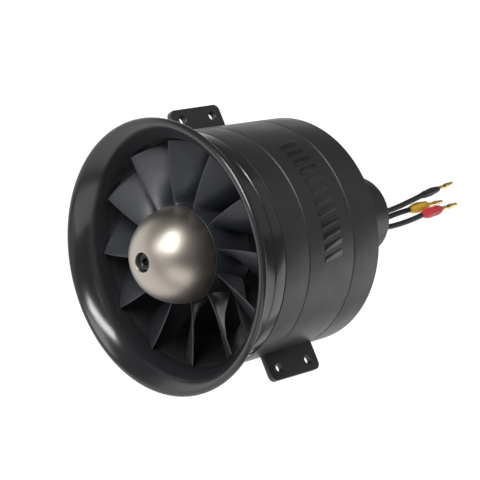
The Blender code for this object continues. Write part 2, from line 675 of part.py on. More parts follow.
def main():
    for old in list(bpy.data.objects):
        bpy.data.objects.remove(old)
    looks = make_materials()
    rotor = bpy.data.objects.new("rotor_axis", None)
    bpy.context.scene.collection.objects.link(rotor)
    make_lip(looks)
    make_lip_screws(looks)
    make_duct(looks)
    make_stator_frame(looks)
    make_motor_shell(looks)
    make_motor_screws(looks)
    make_stator_core(looks)
    make_coils(looks)
    make_bearings(looks, rotor)
    make_motor_rotor(looks, rotor)
    make_impeller(looks, rotor)
    make_hub_hardware(looks, rotor)
    make_tail(looks)
    make_grommet(looks)
    make_leads(looks)


main()
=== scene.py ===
"""Looks for the ducted fan power unit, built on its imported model.

The frame is the model's own: +Y is the fan axis from intake to exhaust, +Z is up and +X is to the right seen from
the intake. Working lengths are millimetres, written to the meshes in metres. Angles are degrees about the fan axis
from +X towards +Z.
"""

import json
import math

import bmesh
import bpy
from mathutils import Matrix, Vector

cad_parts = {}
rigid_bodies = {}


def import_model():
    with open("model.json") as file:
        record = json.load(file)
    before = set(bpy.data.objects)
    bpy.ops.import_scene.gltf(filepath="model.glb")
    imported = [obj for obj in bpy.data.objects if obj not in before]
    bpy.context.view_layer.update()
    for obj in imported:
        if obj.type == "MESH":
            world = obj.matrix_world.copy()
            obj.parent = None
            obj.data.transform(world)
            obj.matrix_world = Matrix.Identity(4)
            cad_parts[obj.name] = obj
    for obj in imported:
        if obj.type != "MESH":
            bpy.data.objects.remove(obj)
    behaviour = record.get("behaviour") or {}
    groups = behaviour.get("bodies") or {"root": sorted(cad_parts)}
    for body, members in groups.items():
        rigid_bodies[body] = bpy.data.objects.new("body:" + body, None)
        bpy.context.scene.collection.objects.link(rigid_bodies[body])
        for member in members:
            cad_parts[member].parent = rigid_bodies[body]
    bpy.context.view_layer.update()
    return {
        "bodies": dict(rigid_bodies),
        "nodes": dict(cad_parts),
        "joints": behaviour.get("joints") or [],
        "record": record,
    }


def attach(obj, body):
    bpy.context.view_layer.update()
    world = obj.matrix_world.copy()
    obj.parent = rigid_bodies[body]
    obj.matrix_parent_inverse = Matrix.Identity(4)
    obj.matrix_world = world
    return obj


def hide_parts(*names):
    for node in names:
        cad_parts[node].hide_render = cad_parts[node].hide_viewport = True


MM = 0.001

# Sizes repeated from the model, in millimetres
BORE_R = 45.0
DUCT_R_FRONT = 47.2
DUCT_R_REAR = 46.3
DUCT_SHOULDER_Y = -26.0
DUCT_REAR_Y = 29.4
COLLAR_R = 47.1
LIP_Y = -44.94
LIP_OUTER_R = 54.4
LIP_ROLL_R = 1.56
LIP_STEP_Y = -31.6
THROAT_Y = -32.3
LIP_SCREW_ANGLE = 11.6
LIP_SCREW_Y = -28.0
TAB_OUTER_X = 58.1
TAB_LENGTH = 27.6
TAB_THICKNESS = 2.6
TAB_HOLE_R = 1.7
TAB_HOLE_X = 53.4
TAB_HOLE_PITCH = 16.8
GROOVE_YS = (-12.45, 14.2)
BLADES = 12
BLADE_ROOT_R = 18.4
TIP_R = 44.45
FIRST_BLADE_ANGLE = 164.0
LEAD_ANGLE_SPREAD = 5.5  # from a blade's root to its tip
BLADE_DEPTH = 16.2
HUB_R = 19.2
SPINNER_BASE_Y = -35.3
SPINNER_TIP_Y = -56.0
SPINNER_HALF_AXIS = 21.1
NOSE_HOLE_R = 3.75
VANES = 7
FIRST_VANE_ANGLE = -9.0
SLEEVE_R = 19.2
SLEEVE_REAR_Y = 32.0
TAIL_REAR_Y = 73.5
SLANT = Vector((0.932, 0.0, -0.362))
CROSS = Vector((0.362, 0.0, 0.932))
LEAD_DIAMETER = 2.4
LEAD_ROUTES = {
    "black": [(1.2, 0.0, 75.3), (1.2, 0.0, 84.0), (0.8, 0.0, 91.0), (-0.1, 0.1, 99.0), (-1.4, 0.2, 107.0),
              (-2.6, 0.3, 114.0)],
    "yellow": [(4.2, 0.0, 75.3), (4.0, -0.5, 84.0), (3.6, -0.9, 92.0), (3.0, -1.3, 99.5), (2.6, -1.6, 107.7)],
    "red": [(7.2, 0.0, 75.3), (7.4, 0.6, 84.0), (7.5, 1.5, 91.0), (7.1, 2.1, 98.0), (6.3, 2.6, 105.0),
            (5.4, 2.9, 110.6)],
}
CONNECTOR_DRIFT = {"black": (-0.12, 0.0), "yellow": (-0.02, 0.0), "red": (-0.07, 0.06)}
SHRINK_R = {"black": 1.75, "yellow": 2.35, "red": 2.3}
CONNECTOR_LENGTH = 12.6
PIN_LENGTH = 10.0
GAP = 0.3

# Studio. The floor is lit with painted light: it glows, and reflections see that painted pool of light fade
# between two distances from its middle. The world is dimmer.
FLOOR_Z = -0.30
FLOOR_HALF_SIZE = 4.0
FLOOR_BRIGHTNESS = 1.05
FADE_START = 0.40
FADE_END = 1.50
FADED_BRIGHTNESS = 0.30
WORLD_LIGHT = 0.12

# The camera's axes, which the studio lights are also placed by
CAMERA_PLACE = Vector((0.12206, -0.56091, 0.54411))
CAMERA_RIGHT = Vector((0.3595, 0.6899, 0.6283))
CAMERA_UP = Vector((-0.9202, 0.1501, 0.3616))
CAMERA_BACK = Vector((0.1552, -0.7081, 0.6888))
CAMERA_LENS = 147.95


# Camera, floor and light


def make_camera():
    camera = bpy.data.objects.new("camera", bpy.data.cameras.new("camera"))
    bpy.context.scene.collection.objects.link(camera)
    turn = Matrix((CAMERA_RIGHT, CAMERA_UP, CAMERA_BACK)).transposed().to_4x4()
    camera.matrix_world = Matrix.Translation(CAMERA_PLACE) @ turn
    camera.data.lens = CAMERA_LENS
    camera.data.sensor_width = 36.0
    camera.data.clip_start = 0.01
    camera.data.clip_end = 20.0
    bpy.context.scene.camera = camera


def add_light(name, right, up, back, distance, width, height, power, upright=False):
    """A softbox seen in a direction given along the camera's axes, aimed at the object.

    Its height runs up the picture, or up from the floor if it stands upright.
    """
    away = (CAMERA_RIGHT * right + CAMERA_UP * up + CAMERA_BACK * back).normalized()
    side = (Vector((0, 0, 1)) if upright else CAMERA_UP).cross(away).normalized()
    light = bpy.data.lights.new(name, "AREA")
    light.shape = "RECTANGLE"
    light.size, light.size_y = width, height
    light.energy = power
    made = bpy.data.objects.new(name, light)
    bpy.context.scene.collection.objects.link(made)
    turn = Matrix((side, away.cross(side), away)).transposed().to_4x4()
    made.matrix_world = Matrix.Translation(away * distance) @ turn


def make_studio():
    """A floor that glows pale with painted light, a plain world and six softboxes."""
    scene = bpy.context.scene
    scene.view_settings.view_transform = "Standard"
    world = bpy.data.worlds.new("studio")
    scene.world = world
    world.use_nodes = True
    background = world.node_tree.nodes["Background"]
    background.inputs["Color"].default_value = (1.0, 1.0, 1.0, 1.0)
    rays = world.node_tree.nodes.new("ShaderNodeLightPath")
    strength = world.node_tree.nodes.new("ShaderNodeMapRange")
    strength.inputs["To Min"].default_value = WORLD_LIGHT
    strength.inputs["To Max"].default_value = 1.0  # what the camera sees
    world.node_tree.links.new(rays.outputs["Is Camera Ray"], strength.inputs["Value"])
    world.node_tree.links.new(strength.outputs["Result"], background.inputs["Strength"])
    bm = bmesh.new()
    bmesh.ops.create_grid(bm, x_segments=1, y_segments=1, size=FLOOR_HALF_SIZE)
    mesh = bpy.data.meshes.new("floor")
    bm.to_mesh(mesh)
    bm.free()
    floor = bpy.data.objects.new("floor", mesh)
    scene.collection.objects.link(floor)
    floor.location = (0.0, 0.0, FLOOR_Z)
    # The floor's own colour is grey. Its whiteness is painted light: a glow that is brightest in its middle and
    # fades outward in reflections, and that the camera sees even.
    glowing_floor = bpy.data.materials.new("floor_painted_glow")
    glowing_floor.use_nodes = True
    shader = glowing_floor.node_tree.nodes["Principled BSDF"]
    shader.inputs["Base Color"].default_value = (0.12, 0.12, 0.12, 1.0)
    shader.inputs["Roughness"].default_value = 1.0
    shader.inputs["Specular IOR Level"].default_value = 0.0
    shader.inputs["Emission Color"].default_value = (1.0, 1.0, 1.0, 1.0)
    place = glowing_floor.node_tree.nodes.new("ShaderNodeTexCoord")
    reach = glowing_floor.node_tree.nodes.new("ShaderNodeVectorMath")
    reach.operation = "LENGTH"
    falloff = glowing_floor.node_tree.nodes.new("ShaderNodeMapRange")
    falloff.interpolation_type = "SMOOTHSTEP"
    falloff.inputs["From Min"].default_value = FADE_START
    falloff.inputs["From Max"].default_value = FADE_END
    falloff.inputs["To Min"].default_value = FLOOR_BRIGHTNESS
    falloff.inputs["To Max"].default_value = FADED_BRIGHTNESS
    seen = glowing_floor.node_tree.nodes.new("ShaderNodeLightPath")
    strength = glowing_floor.node_tree.nodes.new("ShaderNodeMath")  # the camera sees the floor plain
    strength.operation = "MAXIMUM"
    links = glowing_floor.node_tree.links
    links.new(place.outputs["Object"], reach.inputs[0])
    links.new(reach.outputs["Value"], falloff.inputs["Value"])
    links.new(falloff.outputs["Result"], strength.inputs[0])
    links.new(seen.outputs["Is Camera Ray"], strength.inputs[1])
    links.new(strength.outputs["Value"], shader.inputs["Emission Strength"])
    mesh.materials.append(glowing_floor)
    add_light("key_strip", -0.17, 0.53, 0.84, 1.2, 0.26, 0.80, 11.5)
    add_light("left_softbox", -0.55, 0.36, 0.75, 1.2, 0.45, 0.50, 2.6)
    add_light("side_card_front", 0.19, -0.77, 0.58, 1.2, 1.3, 0.75, 4.0, upright=True)
    add_light("side_card_back", 0.85, -0.43, -0.25, 1.2, 1.3, 0.75, 4.9, upright=True)
    add_light("front_card", -0.43, -0.30, 0.84, 1.2, 1.2, 0.5, 1.1, upright=True)
    add_light("back_card", 0.86, 0.50, -0.05, 1.3, 0.9, 0.9, 0.8, upright=True)


# Materials. Texture scales are in repeats per metre.


def material(name, colour, roughness, metallic=0.0, speckle=0.0, grain=9000.0, grain_height=0.004,
             patches=0.04, ior=1.5):
    """A finish with a fine bump grain, colour speckle at the grain's scale and slow patches in its roughness."""
    made = bpy.data.materials.new(name)
    made.use_nodes = True
    nodes, links = made.node_tree.nodes, made.node_tree.links
    shader = nodes["Principled BSDF"]
    shader.inputs["Metallic"].default_value = metallic
    shader.inputs["IOR"].default_value = ior
    place = nodes.new("ShaderNodeTexCoord")

    def noise(scale, detail):
        made_noise = nodes.new("ShaderNodeTexNoise")
        made_noise.inputs["Scale"].default_value = scale
        made_noise.inputs["Detail"].default_value = detail
        links.new(place.outputs["Object"], made_noise.inputs["Vector"])
        return made_noise

    def remap(source, low, high):
        made_map = nodes.new("ShaderNodeMapRange")
        made_map.inputs["From Min"].default_value = 0.3
        made_map.inputs["From Max"].default_value = 0.7
        made_map.inputs["To Min"].default_value = low
        made_map.inputs["To Max"].default_value = high
        links.new(source.outputs["Fac"], made_map.inputs["Value"])
        return made_map

    fine, slow = noise(grain, 3.0), noise(140.0, 4.0)
    tint = nodes.new("ShaderNodeMix")
    tint.data_type = "RGBA"
    tint.inputs["A"].default_value = (*[c * (1 - speckle) for c in colour], 1.0)
    tint.inputs["B"].default_value = (*[min(1.0, c * (1 + speckle)) for c in colour], 1.0)
    links.new(remap(fine, 0.0, 1.0).outputs["Result"], tint.inputs["Factor"])
    links.new(tint.outputs["Result"], shader.inputs["Base Color"])
    rough = remap(slow, roughness - patches, roughness + patches)
    links.new(rough.outputs["Result"], shader.inputs["Roughness"])
    bump = nodes.new("ShaderNodeBump")
    bump.inputs["Distance"].default_value = grain_height * MM
    links.new(fine.outputs["Fac"], bump.inputs["Height"])
    links.new(bump.outputs["Normal"], shader.inputs["Normal"])
    made.diffuse_color = (*colour, 1.0)
    return made


def make_materials():
    return {
        "gloss_black_plastic": material("gloss_black_plastic", (0.017, 0.017, 0.019), 0.19, patches=0.02,
                                        grain=900.0, grain_height=0.0015, ior=1.55),
        "satin_black_plastic": material("satin_black_plastic", (0.022, 0.022, 0.023), 0.42, speckle=0.25,
                                        grain=5200.0, grain_height=0.012),
        "mark_plastic": material("mark_plastic", (0.012, 0.012, 0.013), 0.16, patches=0.05),
        "blade_composite": material("blade_composite", (0.021, 0.023, 0.029), 0.38, speckle=0.4, grain=3000.0,
                                    grain_height=0.01, patches=0.08),
        "blasted_aluminium": material("blasted_aluminium", (0.45, 0.405, 0.36), 0.4, metallic=1.0, speckle=0.05,
                                      grain=9000.0, grain_height=0.002, patches=0.02),
        "black_anodised": material("black_anodised", (0.03, 0.03, 0.032), 0.4, metallic=0.8, speckle=0.15),
        "steel": material("steel", (0.55, 0.55, 0.56), 0.28, metallic=1.0, speckle=0.05),
        "black_steel": material("black_steel", (0.05, 0.05, 0.052), 0.3, metallic=1.0, speckle=0.2),
        "lamination_steel": material("lamination_steel", (0.33, 0.34, 0.36), 0.5, metallic=1.0, speckle=0.15),
        "enamelled_copper": material("enamelled_copper", (0.72, 0.34, 0.16), 0.35, metallic=1.0, speckle=0.15),
        "nickel_plated_magnet": material("nickel_plated_magnet", (0.5, 0.5, 0.5), 0.3, metallic=1.0, speckle=0.05),
        "black_rubber": material("black_rubber", (0.02, 0.02, 0.021), 0.5, speckle=0.2, grain_height=0.01),
        "black_heat_shrink": material("black_heat_shrink", (0.02, 0.02, 0.022), 0.35, grain=900.0,
                                      grain_height=0.03),
        "yellow_heat_shrink": material("yellow_heat_shrink", (0.78, 0.5, 0.05), 0.35, speckle=0.08, grain=900.0,
                                       grain_height=0.03),
        "red_heat_shrink": material("red_heat_shrink", (0.62, 0.05, 0.06), 0.35, speckle=0.08, grain=900.0,
                                    grain_height=0.03),
        "gold_plated_brass": material("gold_plated_brass", (0.83, 0.62, 0.3), 0.22, metallic=1.0, speckle=0.05),
    }


# Mesh helpers, in millimetres


def finish_piece(bm, name, look, body, sharp=35):
    """Turns a millimetre bmesh into a shown piece in metres that rides on a body."""
    bmesh.ops.recalc_face_normals(bm, faces=bm.faces)
    if bm.calc_volume(signed=True) < 0:
        bmesh.ops.reverse_faces(bm, faces=bm.faces)
    bmesh.ops.scale(bm, vec=(MM, MM, MM), verts=bm.verts)
    mesh = bpy.data.meshes.new(name)
    bm.to_mesh(mesh)
    bm.free()
    mesh.shade_smooth()
    mesh.set_sharp_from_angle(angle=math.radians(sharp))
    mesh.materials.append(look)
    made = bpy.data.objects.new(name, mesh)
    bpy.context.scene.collection.objects.link(made)
    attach(made, body)
    return made


def polar(radius, angle, y):
    turn = math.radians(angle)
    return Vector((radius * math.cos(turn), y, radius * math.sin(turn)))


def rounded(corners, steps=5):
    """A closed outline of (r, y, corner radius) as points, with true arcs at its corners."""
    points = []
    for i, (x, y, radius) in enumerate(corners):
        here = Vector((x, y))
        if not radius:
            points.append((x, y))
            continue
        before = (Vector(corners[i - 1][:2]) - here).normalized()
        after = (Vector(corners[(i + 1) % len(corners)][:2]) - here).normalized()
        half = before.angle(after) / 2
        centre = here + (before + after).normalized() * radius / math.sin(half)
        start = here + before * radius / math.tan(half) - centre
        end = here + after * radius / math.tan(half) - centre
        span = start.angle(end)
        for k in range(steps + 1):
            t = k / steps
            spoke = (start * math.sin((1 - t) * span) + end * math.sin(t * span)) / math.sin(span)
            points.append(tuple(centre + spoke))
    return points


def arc(centre, radius, start, stop, steps):
    angles = [math.radians(start + (stop - start) * i / steps) for i in range(steps + 1)]
    return [(centre[0] + radius * math.cos(a), centre[1] + radius * math.sin(a)) for a in angles]


def add_turned(bm, outline, segments):
    """Spins a closed outline of (radius, y) points about the Y axis and returns the new vertices."""
    columns = []
    for i in range(segments):
        angle = 360 * i / segments
        columns.append([bm.verts.new(polar(r, angle, y)) if r > 1e-6 or i == 0 else None for r, y in outline])
    for row, (r, _) in enumerate(outline):
        if r <= 1e-6:
            for column in columns:
                column[row] = columns[0][row]
    count = len(outline)
    for i, column in enumerate(columns):
        other = columns[(i + 1) % segments]
        for j in range(count):
            k = (j + 1) % count
            corners = []
            for vert in (column[j], column[k], other[k], other[j]):
                if vert not in corners:
                    corners.append(vert)
            if len(corners) > 2:
                bm.faces.new(corners)
    return list({v for column in columns for v in column})


def turned(name, outline, look, body, segments=192, sharp=35):
    bm = bmesh.new()
    add_turned(bm, outline, segments)
    return finish_piece(bm, name, look, body, sharp)


def add_loft(bm, loops, closed=False):
    """Skins equally long point loops. Ends are capped unless the loops close on themselves."""
    rings = [[bm.verts.new(p) for p in loop] for loop in loops]
    count = len(rings[0])
    pairs = list(zip(rings, rings[1:] + rings[:1])) if closed else list(zip(rings, rings[1:]))
    for a, b in pairs:
        for i in range(count):
            j = (i + 1) % count
            bm.faces.new((a[i], a[j], b[j], b[i]))
    if not closed:
        bm.faces.new(rings[0])
        bm.faces.new(list(reversed(rings[-1])))
    return [v for ring in rings for v in ring]


def place(bm, verts, origin, direction):
    """Moves vertices modelled along +Y so that +Y points along a direction from an origin."""
    turn = Vector((0, 1, 0)).rotation_difference(Vector(direction)).to_matrix().to_4x4()
    bmesh.ops.transform(bm, matrix=Matrix.Translation(origin) @ turn, verts=verts)


def cut(target, bm, name):
    """Cuts a shape, given as a millimetre bmesh, out of a piece, and leaves no modifier on it."""
    bmesh.ops.recalc_face_normals(bm, faces=bm.faces)
    bmesh.ops.scale(bm, vec=(MM, MM, MM), verts=bm.verts)
    mesh = bpy.data.meshes.new(name)
    bm.to_mesh(mesh)
    bm.free()
    cutter = bpy.data.objects.new(name, mesh)
    bpy.context.scene.collection.objects.link(cutter)
    step = target.modifiers.new(name, "BOOLEAN")
    step.operation = "DIFFERENCE"
    step.solver = "EXACT"
    step.object = cutter
    graph = bpy.context.evaluated_depsgraph_get()
    result = bpy.data.meshes.new_from_object(target.evaluated_get(graph))
    target.modifiers.clear()
    target.data = result
    bpy.data.objects.remove(cutter)


# Leads


def slanted(along, across, y):
    return SLANT * along + CROSS * across + Vector((0, y, 0))


def smooth_route(points, step):
    """Points at even steps along a smooth curve through a route's own points."""
    padded = [2 * points[0] - points[1]] + points + [2 * points[-1] - points[-2]]
    fine = []
    for a, b, c, d in zip(padded, padded[1:], padded[2:], padded[3:]):
        for i in range(24):
            t = i / 24
            fine.append(0.5 * (2 * b + (c - a) * t + (2 * a - 5 * b + 4 * c - d) * t ** 2
                               + (3 * b - a - 3 * c + d) * t ** 3))
    fine.append(points[-1])
    lengths = [0.0]
    for a, b in zip(fine, fine[1:]):
        lengths.append(lengths[-1] + (b - a).length)
    count = max(2, round(lengths[-1] / step))
    chosen, at = [], 0
    for i in range(count + 1):
        target = lengths[-1] * i / count
        while at < len(fine) - 2 and lengths[at + 1] < target:
            at += 1
        share = (target - lengths[at]) / (lengths[at + 1] - lengths[at])
        chosen.append(fine[at].lerp(fine[at + 1], min(share, 1.0)))
    return chosen


def wavy_sleeve(outline, rings, segments, seed):
    """Loops of a shrunk sleeve: a turned outline with the slight waviness that shrinking leaves."""
    loops = []
    for n in range(rings + 1):
        y = outline[-1][1] * n / rings
        radius = outline[0][0]
        for (r0, y0), (r1, y1) in zip(outline, outline[1:]):
            if y0 <= y <= y1:
                radius = r0 + (r1 - r0) * (y - y0) / max(y1 - y0, 1e-6)
        loop = []
        for i in range(segments):
            angle = 360 * i / segments
            turn = math.radians(angle)
            wave = 0.05 * math.sin(2 * turn + seed + 1.1 * y) + 0.03 * math.sin(3 * turn - 0.8 * y + 2 * seed)
            loop.append(polar(radius + wave, angle, y))
        loops.append(loop)
    return loops


def make_leads(looks):
    for number, (colour, route) in enumerate(LEAD_ROUTES.items()):
        points = smooth_route([slanted(*p) for p in route], 1.2)
        curve = bpy.data.curves.new(f"lead_wire_{colour}", "CURVE")
        curve.dimensions = "3D"
        curve.bevel_depth = LEAD_DIAMETER / 2 * MM
        curve.bevel_resolution = 6
        curve.use_fill_caps = True
        spline = curve.splines.new("POLY")
        spline.points.add(len(points) - 1)
        for spline_point, point in zip(spline.points, points):
            spline_point.co = (*(point * MM), 1.0)
        curve.materials.append(looks["black_rubber"])
        wire = bpy.data.objects.new(f"lead_wire_{colour}", curve)
        bpy.context.scene.collection.objects.link(wire)
        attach(wire, "housing")
        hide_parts(f"lead_{colour}")

        drift = CONNECTOR_DRIFT[colour]
        direction = slanted(drift[0], drift[1], 1.0).normalized()
        shrink_start = points[-1] - direction * 0.6
        wide = SHRINK_R[colour]
        outline = [(1.24, 0.0), (1.3, 0.8), (0.78 * wide, 1.8), (0.93 * wide, 3.0), (wide, 5.0), (wide, 8.0),
                   (0.95 * wide, 10.2), (0.86 * wide, 11.6), (0.74 * wide, 12.6), (1.15, CONNECTOR_LENGTH + 0.6)]
        bm = bmesh.new()
        place(bm, add_loft(bm, wavy_sleeve(outline, 30, 28, 1.7 * number)), shrink_start, direction)
        slot = f"{colour}_heat_shrink"
        sleeve = finish_piece(bm, f"shrink_sleeve_{colour}", looks[slot], "housing", 50)
        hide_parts(f"heat_shrink_{colour}")

        pin_start = points[-1] + direction * (GAP + CONNECTOR_LENGTH)
        pin = rounded([(0, -0.6, 0), (0.98, -0.6, 0.1), (0.98, 2.2, 0.15), (0.72, 2.5, 0.1), (0.74, 2.9, 0.1),
                       (1.14, 4.4, 0.8), (1.14, 6.0, 0.8), (0.86, 7.8, 0.5), (0.82, PIN_LENGTH - 0.4, 0.3),
                       (0.5, PIN_LENGTH + 0.25, 0.2), (0, PIN_LENGTH + 0.3, 0)], 4)
        bm = bmesh.new()
        place(bm, add_turned(bm, pin, 32), pin_start, direction)
        contact = finish_piece(bm, f"contact_pin_{colour}", looks["gold_plated_brass"], "housing")
        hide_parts(f"bullet_pin_{colour}")


# Intake lip and duct


def lip_outline():
    """The lip's section: a rolled edge, the bell inside it, the flare behind it and the collar."""
    roll_centre = (LIP_OUTER_R - LIP_ROLL_R, LIP_Y)
    out, back = roll_centre[0] - BORE_R, THROAT_Y - LIP_Y
    bell_r = (out ** 2 + back ** 2 - LIP_ROLL_R ** 2) / (2 * (out - LIP_ROLL_R))
    meet = 180 + math.degrees(math.atan2(back, bell_r - out))
    roll = arc(roll_centre, LIP_ROLL_R, 45, meet - 360, 28)
    bell = arc((BORE_R + bell_r, THROAT_Y), bell_r, meet, 180, 30)
    rear = rounded([
        (BORE_R, -31.3, 0.1),
        (46.3, -31.3, 0),
        (46.3, DUCT_SHOULDER_Y - GAP, 0),
        (COLLAR_R, DUCT_SHOULDER_Y - GAP, 0.25),
        (COLLAR_R, LIP_STEP_Y + 0.25, 0.3),
        (COLLAR_R - 0.35, LIP_STEP_Y - 0.15, 0.15),
        (COLLAR_R - 0.35, -36.9, 1.6),
        (roll[0][0], roll[0][1], 0),
    ])
    return roll + bell[1:] + rear[:-1]


def lip_screw_bores(outline):
    """The same turned outline at each of the four lip screws, pointing out from the fan axis."""
    bm = bmesh.new()
    for angle in (LIP_SCREW_ANGLE, -LIP_SCREW_ANGLE, 180 - LIP_SCREW_ANGLE, 180 + LIP_SCREW_ANGLE):
        place(bm, add_turned(bm, outline, 32), Vector((0, LIP_SCREW_Y, 0)), polar(1, angle, 0))
    return bm


def make_lip(looks):
    lip = turned("lip_moulding", lip_outline(), looks["gloss_black_plastic"], "housing", 256)
    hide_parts("intake_lip")
    hole = [(0, 44.0), (1.1, 44.0), (1.1, 46.0), (1.4, 46.5), (1.4, 49.0), (0, 49.0)]
    cut(lip, lip_screw_bores(hole), "lip_screw_holes")


def duct_outline():
    def outer(y):
        share = (y - DUCT_SHOULDER_Y) / (DUCT_REAR_Y - DUCT_SHOULDER_Y)
        return DUCT_R_FRONT + (DUCT_R_REAR - DUCT_R_FRONT) * share
    corners = [(BORE_R, -31.0, 0), (46.0, -31.0, 0), (46.0, DUCT_SHOULDER_Y, 0),
               (DUCT_R_FRONT, DUCT_SHOULDER_Y, 0.2)]
    for y in GROOVE_YS:
        corners += [(outer(y), y - 0.42, 0.12), (outer(y) - 0.4, y - 0.2, 0.1),
                    (outer(y) - 0.4, y + 0.02, 0.1), (outer(y), y + 0.45, 0.2)]
    corners += [(DUCT_R_REAR, DUCT_REAR_Y, 0.35), (44.8, DUCT_REAR_Y, 0.25), (BORE_R, 12.0, 0)]
    return rounded(corners)


def tab_loops(side):
    """Outline loops of one tab, from its lower to its upper face, with a rounded rim."""
    loops = []
    top = TAB_THICKNESS / 2
    for inset, z in ((0.2, -top), (0.06, 0.06 - top), (0.0, 0.2 - top), (0.0, top - 0.2), (0.06, top - 0.06),
                     (0.2, top)):
        far = TAB_LENGTH / 2 - inset
        reach = TAB_OUTER_X - inset
        near = rounded([(45.6, -far, 0), (reach, -far, 2.6), (reach, 0.0, 0)], 10)[:-1]
        outline = near + [(x, -y) for x, y in reversed(near)]
        loops.append([Vector((side * x, y, z)) for x, y in outline])
    return loops


def make_duct(looks):
    duct = turned("duct_wall", duct_outline(), looks["satin_black_plastic"], "housing", 256)
    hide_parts("duct_shell")
    cut(duct, lip_screw_bores([(0, 43.0), (1.05, 43.0), (1.05, 49.0), (0, 49.0)]), "lip_screw_pilots")
    for side, label in ((1, "right"), (-1, "left")):
        bm = bmesh.new()
        add_loft(bm, tab_loops(side))
        tab = finish_piece(bm, f"tab_{label}", looks["satin_black_plastic"], "housing", 28)
        holes = bmesh.new()
        for y in (-TAB_HOLE_PITCH / 2, TAB_HOLE_PITCH / 2):
            bore = [(0, -3), (TAB_HOLE_R + 0.2, -3), (TAB_HOLE_R + 0.2, -1.3), (TAB_HOLE_R, -1.1),
                    (TAB_HOLE_R, 1.1), (TAB_HOLE_R + 0.2, 1.3), (TAB_HOLE_R + 0.2, 3), (0, 3)]
            place(holes, add_turned(holes, bore, 40), Vector((side * TAB_HOLE_X, y, 0)), (0, 0, 1))
        cut(tab, holes, f"tab_holes_{label}")


def make_marks(looks):
    """A row of plain raised slanted bars round the duct."""
    for number in range(12):
        middle = 121.5 - 5.5 * number
        bm = bmesh.new()
        loops = []
        for inset, lift in ((0.0, -0.3), (0.0, 0.12), (0.08, 0.19), (0.2, 0.22)):
            corners = rounded([(-1.3 + inset, -3.6 + inset, 0.5), (1.3 - inset, -3.6 + inset, 0.5),
                               (1.3 - inset, 6.7 - inset, 0.5), (-1.3 + inset, 6.7 - inset, 0.5)], 5)
            loop = []
            for across, y in corners:
                radius = DUCT_R_FRONT - 0.9 * (y - DUCT_SHOULDER_Y) / 54.6 + lift
                lean = 0.2 * (y - 1.5)
                loop.append(polar(radius, middle + math.degrees((across + lean) / radius), y))
            loops.append(loop)
        add_loft(bm, loops)
        finish_piece(bm, f"raised_bar_{number + 1}", looks["mark_plastic"], "housing", 30)


# Blades


def section(mean, half, steps):
    """A closed aerofoil section about a mean line, with a rounded nose and a thin tail."""
    upper, lower = [], []
    for i in range(steps + 1):
        s = (1 - math.cos(math.pi * i / steps)) / 2
        tangent = (mean(min(s + 0.01, 1)) - mean(max(s - 0.01, 0))).normalized()
        side = Vector((-tangent.y, tangent.x))
        reach = half * (0.16 + 1.6 * math.sqrt(s) * (1 - s))
        if i in (0, steps):
            upper.append(mean(s) - tangent * reach * (1 if i == 0 else -1))
            continue
        upper.append(mean(s) + side * reach)
        lower.append(mean(s) - side * reach)
    return upper + lower[::-1]


def interpolate(table, x):
    """A value from (x, value) pairs, with a smooth curve through them."""
    for i in range(len(table) - 1):
        (x0, v0), (x1, v1) = table[i], table[i + 1]
        if x <= x1 or i == len(table) - 2:
            before = table[i - 1] if i > 0 else (2 * x0 - x1, 2 * v0 - v1)
            after = table[i + 2] if i + 2 < len(table) else (2 * x1 - x0, 2 * v1 - v0)
            m0 = (v1 - before[1]) / (x1 - before[0])
            m1 = (after[1] - v0) / (after[0] - x0)
            h = x1 - x0
            t = (x - x0) / h
            return ((2 * t ** 3 - 3 * t ** 2 + 1) * v0 + (t ** 3 - 2 * t ** 2 + t) * h * m0
                    + (3 * t ** 2 - 2 * t ** 3) * v1 + (t ** 3 - t ** 2) * h * m1)


def blade_loops(turn):
    """One fan blade from inside the hub's skin to its tip, which is rounded off."""
    stagger = [(BLADE_ROOT_R, 16.0), (27.1, 38.0), (35.8, 45.5), (TIP_R, 48.5)]
    loops = []
    radii = [18.6, 19.2, 19.6, 20.1, 20.8, 22] + [24 + 2 * i for i in range(10)] + [43.2, 44.0, 44.35, TIP_R]
    for radius in radii:
        share = (radius - BLADE_ROOT_R) / (TIP_R - BLADE_ROOT_R)
        lead_y = -33.8 - 1.5 * share
        lead = FIRST_BLADE_ANGLE - turn - LEAD_ANGLE_SPREAD * share
        sweep = math.degrees(BLADE_DEPTH * math.tan(math.radians(interpolate(stagger, radius))) / radius)
        camber = 0.3 + 0.2 * share

        def mean(s):
            bend = s + camber * s * (1 - s)
            return Vector((math.radians(lead - sweep * bend) * radius, lead_y + BLADE_DEPTH * s))

        fillet = 0.9 * math.exp(-(max(radius, 19.2) - 19.2) / 0.55)
        half = 1.1 - 0.55 * (radius - 18) / 27 + fillet
        if radius > 44.2:
            half *= 0.75 if radius < 44.4 else 0.4
        loops.append([polar(radius, math.degrees(p.x / radius), p.y) for p in section(mean, half, 22)])
    return loops


def make_fan(looks):
    hub = rounded([(5.3, -35.0, 0.2), (HUB_R, -35.0, 0.25), (HUB_R, -16.0, 0.4), (17.4, -16.0, 0.2),
                   (17.4, -31.0, 0.8), (7.9, -31.0, 0.8), (7.9, -18.6, 0.2), (5.3, -18.6, 0.1)])
    bm = bmesh.new()
    add_turned(bm, hub, 144)
    fan = finish_piece(bm, "fan_hub", looks["blade_composite"], "rotor")
    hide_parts("impeller")
    for number in range(BLADES):
        bm = bmesh.new()
        add_loft(bm, blade_loops(number * 360 / BLADES))
        finish_piece(bm, f"fan_blade_{number + 1}", looks["blade_composite"], "rotor", 60)


